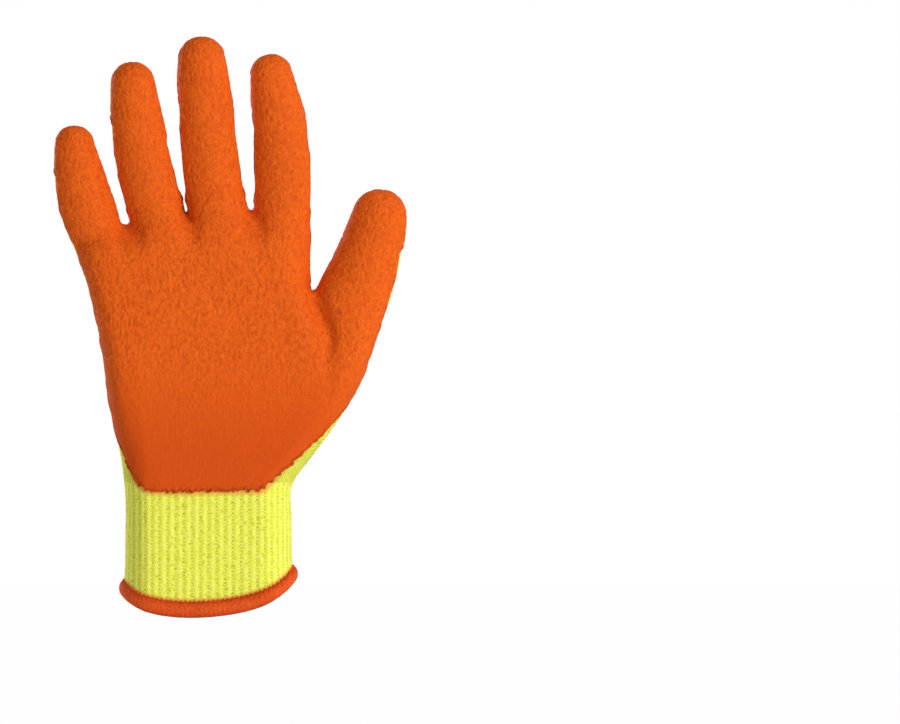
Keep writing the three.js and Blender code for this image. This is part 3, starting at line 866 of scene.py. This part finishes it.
def knit_liner():
    """The whole knitted liner as one closed, smooth surface: its outer faces are marked 0, the rest 1."""
    liner = copy_node("knit_liner", "knit_hand")
    pieces, hand_rims = [], []
    for name in ["cuff"] + [lobe["name"] for lobe in LOBES]:
        piece = copy_node(name, "knit_" + name)
        hand_rim, own_rim = meet(liner, piece, CUFF_CORNERS if name == "cuff" else LOBE_CORNERS)
        delete_faces(piece, own_rim)
        hand_rims += hand_rim
        pieces.append(piece)
    delete_faces(liner, hand_rims)
    activate(liner)
    for piece in pieces:
        piece.select_set(True)
    bpy.ops.object.join()
    merge_doubles(liner, SAME_POINT)
    mesh = liner.data
    centres, normals = face_centres(mesh), face_normals(mesh)
    rim = (centres[:, 2] < CUFF_RIM * MM) & (normals[:, 2] < -0.6)
    around = {}
    for face in mesh.polygons:
        for edge in face.edge_keys:
            around.setdefault(edge, []).append(face.index)
    outer = np.zeros(len(mesh.polygons), bool)
    first = int(centres[:, 2].argmax())
    outer[first] = True
    waiting = [first]
    while waiting:
        face = waiting.pop()
        for edge in mesh.polygons[face].edge_keys:
            for other in around[edge]:
                if not outer[other] and not rim[other]:
                    outer[other] = True
                    waiting.append(other)
    if outer.mean() > 0.6 or outer.mean() < 0.4:
        raise RuntimeError(f"the liner's outer face wasn't found: {outer.mean():.2f} of it is marked")
    for name in ("outer", "inner"):
        mesh.materials.append(bpy.data.materials.new(name))
    mesh.polygons.foreach_set("material_index", np.where(outer, 0, 1).astype(np.int32))
    to_quads(liner)
    round_out(liner, 2)
    return liner


class GLOVE_OT_knit(bpy.types.Operator):
    """Knits the hand with its fingers, and the ribbed cuff"""

    bl_idname = "glove.knit"
    bl_label = "Knitted liner"

    def execute(self, context):
        settings = context.scene.glove_knit
        liner = knit_liner()
        mesh = liner.data
        outer = points_of(mesh, marks(mesh) == 0)
        add_mask(mesh, "wale", wale_numbers(mesh, outer))
        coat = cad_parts["latex_coat"]
        coat_tree = tree_of(coat)
        edge = coat_border(coat)
        near = near_tree(edge)
        outer = marks(mesh) == 0
        centres = face_centres(mesh)
        shown = np.zeros(len(centres), bool)
        for index in np.nonzero(outer)[0]:
            centre = Vector(centres[index])
            gap = coat_tree.find_nearest(centre)[3]
            shown[index] = gap > 0.0011 or near.find(centre)[2] < 0.004
        refine(liner, shown, 2)
        mesh = liner.data
        outer = points_of(mesh, marks(mesh) == 0)
        places, normals = positions(mesh) / MM, point_normals(mesh)
        on_hand = smooth((places[:, 2] - WALES_MIX) / WALES_MIX_HEIGHT)
        wale = read_mask(mesh, "wale") * on_hand + cuff_wales(places) * (1 - on_hand)
        course = course_numbers(places, settings.course)
        back = smooth(back_side(places, normals) * 2 + 0.5)
        away = np.zeros(len(places))
        stain = np.zeros(len(places))
        for index in np.nonzero(outer)[0]:
            place = Vector(places[index] * MM)
            away[index] = coat_tree.find_nearest(place)[3] / MM
            stain[index] = 1 - min(1.0, max(0.0, near.find(place)[2] - STAIN_START) / STAIN_WIDTH)
        over_hem = places[:, 2] - hem_level(places[:, 0], places[:, 1]) - HEM_HEIGHT
        stain = np.maximum(stain, 1 - smooth(over_hem / 4.4))
        bare = outer * smooth((away - 0.4) / 0.9)
        level = places[:, 2]
        ribbed = smooth((RIBS_END - level) / RIBS_FADE)
        ribs = np.cos(2 * math.pi * wale * settings.ribs / LINE_WALES[5])
        rib = (np.sign(ribs) * np.abs(ribs) ** 0.7) * settings.rib / MM
        plain = -np.cos(2 * math.pi * wale) * settings.wale / MM
        bumps = np.cos(2 * math.pi * (course + np.floor(wale) / 2)) * 0.07
        height = (plain * (1 - ribbed) + rib * ribbed + bumps) * bare
        places = places + normals * height[:, None]
        move_to(mesh, places * MM)
        add_map(mesh, "knit", wale, course)
        # The gap mask sets how much painted shade lies between the wales: a little everywhere, more where
        # they are stretched apart on the back, less where the ribs come in.
        add_mask(mesh, "gap", self.openness(places) * back * (1 - ribbed) + 0.3)
        add_mask(mesh, "rib", 0.5 - 0.5 * ribs)
        add_mask(mesh, "stain", stain * outer)
        self.cut_off_cuff(liner, settings)
        return {"FINISHED"}

    def openness(self, places):
        """How far the wales are stretched apart: most on the knuckles and the lower half of the fingers. It
        sets how much painted shade shows between them.
        """
        level = places[:, 2]
        open_up = 0.35 * smooth((level - 85) / 60) * smooth((200 - level) / 20)
        for lobe in LOBES:
            along, across, _, half = lobe_place(lobe, places)
            middle = 1 - smooth((np.abs(across) / half - 0.35) / 0.6)
            body = smooth((along + 26) / 22) * smooth((0.75 - along / lobe["length"]) / 0.35)
            open_up = np.maximum(open_up, 0.75 * middle * body * (level > FINGERS_OPEN))
        return open_up

    def cut_off_cuff(self, liner, settings):
        """Parts the liner at the wrist into the ribbed cuff and the hand, each with its own finish."""
        mesh = liner.data
        centres = face_centres(mesh)
        activate(liner)
        select_faces(mesh, centres[:, 2] < CUFF_LENGTH * MM)
        bpy.ops.object.mode_set(mode="EDIT")
        bpy.ops.mesh.select_mode(type="FACE")
        bpy.ops.mesh.separate(type="SELECTED")
        bpy.ops.mesh.select_mode(type="VERT")
        bpy.ops.object.mode_set(mode="OBJECT")
        cuff = [o for o in bpy.context.selected_objects if o is not liner][0]
        cuff.name = "ribbed_cuff"
        liner.name = "knitted_hand"
        lobes = ["knit_" + lobe["name"] for lobe in LOBES]
        finish_piece(liner, knit_finish(settings, False), "yellow_knit", "knit_hand", *lobes)
        finish_piece(cuff, knit_finish(settings, True), "yellow_knit", "knit_cuff")


def off_the_knit(mesh):
    """True for each vertex of the latex that lies clear of the knit, so on the latex's outer face."""
    knit = [tree_of(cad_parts[n]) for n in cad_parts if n.startswith("knit_")]
    return np.array([min(t.find_nearest(v.co)[3] for t in knit) > CLEAR_OF_KNIT for v in mesh.vertices])


def coat_border(coat):
    """Points every half millimetre along the open edge of the latex's outer face."""
    mesh = coat.data
    high = off_the_knit(mesh)
    found = []
    for face in mesh.polygons:
        upper = [mesh.vertices[i].co for i in face.vertices if high[i]]
        if len(upper) == 2:
            steps = max(1, round((upper[1] - upper[0]).length / 0.0005))
            found += [upper[0].lerp(upper[1], step / steps) for step in range(steps + 1)]
    return found


class GLOVE_OT_latex(bpy.types.Operator):
    """Lays the latex skin over the palm, the finger fronts and the fingertips"""

    bl_idname = "glove.latex"
    bl_label = "Latex skin"

    def execute(self, context):
        settings = context.scene.glove_latex
        skin = self.smooth_skin()
        mesh = skin.data
        kinds = marks(mesh)
        places, normals = positions(mesh), point_normals(mesh)
        outer = points_of(mesh, kinds == 0)
        rim = kinds == 2
        centres, outward = face_centres(mesh)[rim], face_normals(mesh)[rim]
        near = near_tree(centres)
        count = len(places)
        inland = np.zeros(count)
        away = np.zeros((count, 3))
        for index in range(count):
            found = near.find_n(Vector(places[index]), 5)
            inland[index] = found[0][2]
            if inland[index] < EDGE_REACH:
                away[index] = outward[[f[1] for f in found]].mean(0)
        away -= normals * (away * normals).sum(1)[:, None] * outer[:, None]
        away /= np.maximum(np.linalg.norm(away, axis=1), 0.2)[:, None]
        ridge, push = np.zeros(count), np.zeros(count)
        level = places[:, 2]
        low = smooth((CALM_LEVEL - level) / CALM_HEIGHT)
        at_wrist = smooth((WRIST_LEVEL - level) / WRIST_HEIGHT)
        columns = cuff_wales(places / MM) * context.scene.glove_knit.ribs / LINE_WALES[5]
        notch = (0.5 + 0.5 * np.cos(2 * math.pi * columns)) * at_wrist
        for index in range(count):
            place = Vector(places[index])
            if inland[index] < EDGE_REACH:
                quick = noise.noise(Vector((place.x, place.y, place.z * 0.25)) / 0.00125)
                slow = noise.noise(place / 0.006)
                tooth = quick * settings.ragged * (0.3 + 1.1 * at_wrist[index])
                push[index] = tooth + slow * settings.ragged * (0.5 + 0.3 * at_wrist[index])
                push[index] -= notch[index] * settings.ragged * (0.5 + slow)
            if outer[index]:
                coarse = wrinkle(place, settings.spread, 1.2)
                fine = wrinkle(place + Vector((0.37, 0.1, 0.2)), settings.spread * 0.55, 1.1)
                ridge[index] = coarse * 0.55 + fine * 0.45
        near_edge = 1 - smooth(inland / RAGGED_WIDTH)
        tall = settings.crinkle * (1 - 0.75 * low)
        lift = tall * (ridge - 0.5) * smooth(inland / CRINKLE_WIDTH) * outer
        lift -= SINK * (1 - smooth(inland / SINK_WIDTH)) * outer
        places = places + normals * lift[:, None] + away * (push * near_edge)[:, None]
        move_to(mesh, places)
        add_mask(mesh, "ridge", ridge)
        add_mask(mesh, "low", low)
        add_mask(mesh, "lip", (1 - smooth(inland / LIP_WIDTH)) * (0.25 + 0.75 * at_wrist))
        finish_piece(skin, latex_finish(settings), "orange_latex", "latex_coat")
        self.tuck_under(bpy.data.objects["knitted_hand"], skin, outer)
        return {"FINISHED"}

    def smooth_skin(self):
        """The coat as a smooth shell: its outer faces are marked 0, its inner ones 1 and its rim 2."""
        skin = copy_node("latex_skin", "latex_coat")
        mesh = skin.data
        high = off_the_knit(mesh)
        kinds = []
        for face in mesh.polygons:
            share = high[list(face.vertices)].mean()
            kinds.append(0 if share == 1 else (1 if share == 0 else 2))
        for name in ("outer", "inner", "rim"):
            mesh.materials.append(bpy.data.materials.new(name))
        mesh.polygons.foreach_set("material_index", np.array(kinds, np.int32))
        to_quads(skin)
        round_out(skin, 2)
        refine(skin, marks(skin.data) == 0, 2)
        return skin

    def tuck_under(self, knit, skin, outer):
        """Lays the yarn under the latex half a millimetre below its face, and eases the knit round it."""
        mesh = skin.data
        chosen = [f.vertices for f in mesh.polygons if all(outer[v] for v in f.vertices)]
        tree = BVHTree.FromPolygons([v.co for v in mesh.vertices], chosen)
        places, normals = positions(knit.data), point_normals(knit.data)
        rise = np.zeros(len(places))
        bare = np.ones(len(places), bool)
        for index, place in enumerate(places):
            way = Vector(normals[index])
            at, facing, _, gap = tree.ray_cast(Vector(place) - way * SEARCH_BELOW, way, SEARCH_LENGTH)
            if at is not None and facing.dot(way) > 0.3:
                rise[index] = gap - SEARCH_BELOW - YARN_DEPTH
                bare[index] = False
        ends = np.array(knit.data.edge_keys)
        ends = np.concatenate([ends, ends[:, ::-1]])
        ends = ends[bare[ends[:, 0]]]
        total = np.maximum(np.bincount(ends[:, 0], minlength=len(places)), 1)
        for _ in range(8):
            even = np.bincount(ends[:, 0], weights=rise[ends[:, 1]], minlength=len(places)) / total
            rise = np.where(bare, even, rise)
        move_to(knit.data, places + normals * rise[:, None])


def hem_level(x, y):
    """How high the hem's lower edge lies at places in millimetres."""
    radial = x > HEM_LOWEST
    reach = CUFF_WIDTH / 2 + np.where(radial, -HEM_LOWEST, HEM_LOWEST)
    far = np.minimum(1.0, np.abs(x - HEM_LOWEST) / reach)
    bent = HEM_RISE_EVEN * far ** 2 + (1 - HEM_RISE_EVEN) * far ** HEM_RISE_POWER
    side, back = np.where(radial, HEM_RISE_RADIAL, HEM_RISE_ULNAR), np.where(y > 0, HEM_RISE_BACK, 0.0)
    return side * bent + back * (1 - bent)


def hem_edge(share):
    """The cuff's edge at a share of the way round: x, y and level in millimetres, and the way out."""
    deep = CUFF_DEPTH / 2 * HEM_ROUTE
    flat = CUFF_WIDTH / 2 * HEM_ROUTE - EDGE_RADIUS
    bend = math.pi * (EDGE_RADIUS + deep) / 2
    run = (share % 1.0) * hem_length()
    back = run >= 2 * flat + bend
    if back:
        run -= 2 * flat + bend
    if run < 2 * flat:
        x, y, out = -flat + run, -deep, (0.0, -1.0)
    else:
        turn = -math.pi / 2 + math.pi * (run - 2 * flat) / bend
        x, y = flat + EDGE_RADIUS * math.cos(turn), deep * math.sin(turn)
        out = (math.cos(turn) * deep, math.sin(turn) * EDGE_RADIUS)
    # The way over the back is the way over the palm, turned by half a turn.
    size = math.hypot(*out)
    if back:
        x, y, size = -x, -y, -size
    return x, y, float(hem_level(x, y)), out[0] / size, out[1] / size


def hem_length():
    """The way round the cuff's edge in millimetres."""
    flat = CUFF_WIDTH / 2 * HEM_ROUTE - EDGE_RADIUS
    return 4 * flat + math.pi * (EDGE_RADIUS + CUFF_DEPTH / 2 * HEM_ROUTE)


class GLOVE_OT_hem(bpy.types.Operator):
    """Overlocks the cuff's edge"""

    bl_idname = "glove.hem"
    bl_label = "Overlocked hem"

    def execute(self, context):
        settings = context.scene.glove_hem
        material = thread_finish(settings)
        finish_piece(self.band(settings), material, "orange_thread", "cuff_hem")
        finish_piece(self.edge_stitches(settings), material, "orange_thread")
        return {"FINISHED"}

    def band(self, settings):
        """The roll of thread round the edge: bulging, with rows of small slanted stitches."""
        band = copy_node("hem_band", "cuff_hem")
        to_quads(band)
        round_out(band, 2, 1)
        refine(band, np.ones(len(band.data.polygons), bool), 1)
        mesh = band.data
        places, normals = positions(mesh), point_normals(mesh)
        cuff = tree_of(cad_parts["knit_cuff"])
        steps = 600
        route = [hem_edge(step / steps) for step in range(steps)]
        near = near_tree([(x * MM, y * MM, 0) for x, y, _, _, _ in route])
        count = round(hem_length() / (settings.pitch / MM))
        lift = np.zeros(len(places))
        along, up = np.zeros(len(places)), np.zeros(len(places))
        for index, place in enumerate(places):
            step = near.find((place[0], place[1], 0))[1]
            x, y, level, out_x, out_y = route[step]
            aside = (place[0] - x * MM) * -out_y + (place[1] - y * MM) * out_x
            along[index] = (step / steps + aside / MM / hem_length()) * count
            up[index] = (place[2] / MM - level) / HEM_HEIGHT
            hidden = cuff.find_nearest(Vector(place))[3] < 0.0007
            if hidden:
                continue
            share = min(1.0, max(0.0, up[index]))
            middle = math.sin(math.pi * share)
            wander = noise.noise(Vector((along[index] * 0.45, share * 1.5, 0.0)))
            ridge = 0.5 + 0.5 * math.cos(2 * math.pi * (along[index] + share * 0.6 + wander * 0.35))
            lift[index] = (0.5 * middle ** 0.7 + (0.08 + 0.12 * wander) * ridge * middle - 0.1) * MM
        move_to(mesh, places + normals * lift[:, None])
        add_map(mesh, "threads", along, up, count)
        return band

    def edge_stitches(self, settings):
        """A thread that zigzags between the roll's top and the knit: one stitch, copied all round."""
        stitch = self.one_stitch(settings)
        count = round(hem_length() / (settings.pitch / MM))
        copies = []
        for index in range(count):
            mesh = stitch.data.copy()
            copy = bpy.data.objects.new("hem_stitches", mesh)
            bpy.context.scene.collection.objects.link(copy)
            start, end = hem_edge(index / count), hem_edge((index + 1) / count)
            way = Vector((end[0] - start[0], end[1] - start[1], end[2] - start[2])) * MM
            out = Vector((start[3] + end[3], start[4] + end[4], 0)).normalized()
            up = Vector((0, 0, 1))
            foot = Vector((start[0], start[1], start[2] + HEM_HEIGHT)) * MM
            mesh.transform(Matrix.Translation(foot) @ Matrix((way, out, up)).transposed().to_4x4())
            across = np.full(len(mesh.vertices), float(index))
            add_map(mesh, "threads", across, np.full(len(across), 0.7))
            copies.append(copy)
        activate(stitch)
        bpy.ops.object.delete()
        activate(copies[0])
        for copy in copies[1:]:
            copy.select_set(True)
        bpy.ops.object.join()
        piece = copies[0]
        merge_doubles(piece, 0.000001)
        edit_all(piece, bpy.ops.mesh.normals_make_consistent, inside=False)
        return piece

    def one_stitch(self, settings):
        """A thread over a unit of length: it leaves the roll, climbs onto the knit and comes back."""
        deselect()
        bpy.ops.curve.primitive_bezier_curve_add(location=(0, 0, 0))
        curve = bpy.context.object
        line = curve.data.splines[0]
        line.bezier_points.add(1)
        out, rise = 0.0011, 0.0009
        bends = (((0.0, out, -rise), 0.16), ((0.5, 0.0006, rise), 0.2), ((1.0, out, -rise), 0.16))
        for point, (place, lean) in zip(line.bezier_points, bends):
            point.handle_left_type = "FREE"
            point.handle_right_type = "FREE"
            point.co = place
            point.handle_left = (place[0] - lean, place[1], place[2])
            point.handle_right = (place[0] + lean, place[1], place[2])
        curve.data.resolution_u = 4
        curve.data.bevel_depth = settings.thread
        curve.data.bevel_resolution = 1
        curve.data.use_fill_caps = True
        bpy.ops.object.convert(target="MESH")
        return bpy.context.object


class GLOVE_OT_stage(bpy.types.Operator):
    """Sets the camera, the floor and the lights"""

    bl_idname = "glove.stage"
    bl_label = "Stage"

    def execute(self, context):
        settings = context.scene.glove_stage
        scene = context.scene
        deselect()
        low, high = CAD_BOX
        middle = [(low[k] + high[k]) / 2 for k in range(3)]
        scale = settings.frame_width / PHOTO_WIDTH
        target_x = ORIGIN_COLUMN + middle[0] / scale
        target_y = ORIGIN_ROW - middle[2] / scale
        place = (middle[0], middle[1] - settings.distance, middle[2])
        bpy.ops.object.camera_add(location=place, rotation=(math.pi / 2, 0, 0))
        camera = context.object
        camera.data.lens = camera.data.sensor_width * settings.distance / settings.frame_width
        camera.data.shift_x = (PHOTO_WIDTH / 2 - target_x) / PHOTO_WIDTH
        camera.data.shift_y = (target_y - PHOTO_HEIGHT / 2) / PHOTO_WIDTH
        scene.camera = camera
        deselect()
        bpy.ops.mesh.primitive_plane_add(size=14, location=(0, 0, -0.3))
        floor = context.object
        floor.name = "floor"
        finish = Finish(bpy.data.materials.new("pale_floor"))
        finish.feed("Base Color", (0.9, 0.9, 0.9, 1.0))
        finish.feed("Roughness", 0.9)
        finish.feed("Specular IOR Level", 0.0)
        glow = finish.node("ShaderNodeEmission", None, {"Color": (1.0, 1.0, 1.0, 1.0), "Strength": 1.0})
        finish.show_camera(glow, 0.985)
        floor.data.materials.append(finish.owner)
        self.light("key_light", (1.0, -1.2, 0.5), 0.7, settings.key)
        self.light("back_light", (-1.0, 1.2, 0.5), 0.7, settings.key * 0.9)
        scene.world = bpy.data.worlds.new("studio")
        sky = Finish(scene.world, "ShaderNodeOutputWorld", "ShaderNodeBackground")
        place = sky.node("ShaderNodeTexCoord", out="Generated")
        across = sky.node("ShaderNodeSeparateXYZ", None, [place])
        sky.feed("Color", (1.0, 1.0, 1.0, 1.0))
        sky.feed("Strength", across * (settings.fill * 0.5) + settings.fill)
        sky.show_camera(sky.node("ShaderNodeBackground", None, {"Color": (1.0, 1.0, 1.0, 1.0)}))
        scene.view_settings.view_transform = "Standard"
        return {"FINISHED"}

    def light(self, name, place, size, power):
        """Adds a square light that points at the middle of the glove."""
        deselect()
        middle = Vector([(CAD_BOX[0][k] + CAD_BOX[1][k]) / 2 for k in range(3)])
        aim = (middle - Vector(place)).to_track_quat("-Z", "Y").to_euler()
        bpy.ops.object.light_add(type="AREA", location=place, rotation=aim)
        light = bpy.context.object
        light.name = name
        light.data.size = size
        light.data.energy = power


class GLOVE_PT_panel(bpy.types.Panel):
    """Lists the glove's steps and settings"""

    bl_idname = "GLOVE_PT_panel"
    bl_label = "Grip glove"
    bl_space_type = "VIEW_3D"
    bl_region_type = "UI"
    bl_category = "Glove"

    def draw(self, context):
        groups = (
            (context.scene.glove_knit, "glove.knit"),
            (context.scene.glove_latex, "glove.latex"),
            (context.scene.glove_hem, "glove.hem"),
            (context.scene.glove_stage, "glove.stage"),
        )
        for settings, operator in groups:
            box = self.layout.box()
            for name in type(settings).__annotations__:
                box.prop(settings, name)
            box.operator(operator)


SETTINGS = {
    "glove_knit": GloveKnitSettings,
    "glove_latex": GloveLatexSettings,
    "glove_hem": GloveHemSettings,
    "glove_stage": GloveStageSettings,
}
CLASSES = [GLOVE_OT_knit, GLOVE_OT_latex, GLOVE_OT_hem, GLOVE_OT_stage, GLOVE_PT_panel]


def register():
    for settings in SETTINGS.values():
        bpy.utils.register_class(settings)
    for made in CLASSES:
        bpy.utils.register_class(made)
    for name, settings in SETTINGS.items():
        setattr(bpy.types.Scene, name, bpy.props.PointerProperty(type=settings))


def unregister():
    for name in SETTINGS:
        delattr(bpy.types.Scene, name)
    for made in reversed(CLASSES):
        bpy.utils.unregister_class(made)
    for settings in reversed(list(SETTINGS.values())):
        bpy.utils.unregister_class(settings)


def main():
    register()
    bpy.ops.glove.knit()
    bpy.ops.glove.latex()
    bpy.ops.glove.hem()
    bpy.ops.glove.stage()
    deselect()


if __name__ == "__main__":
    main()
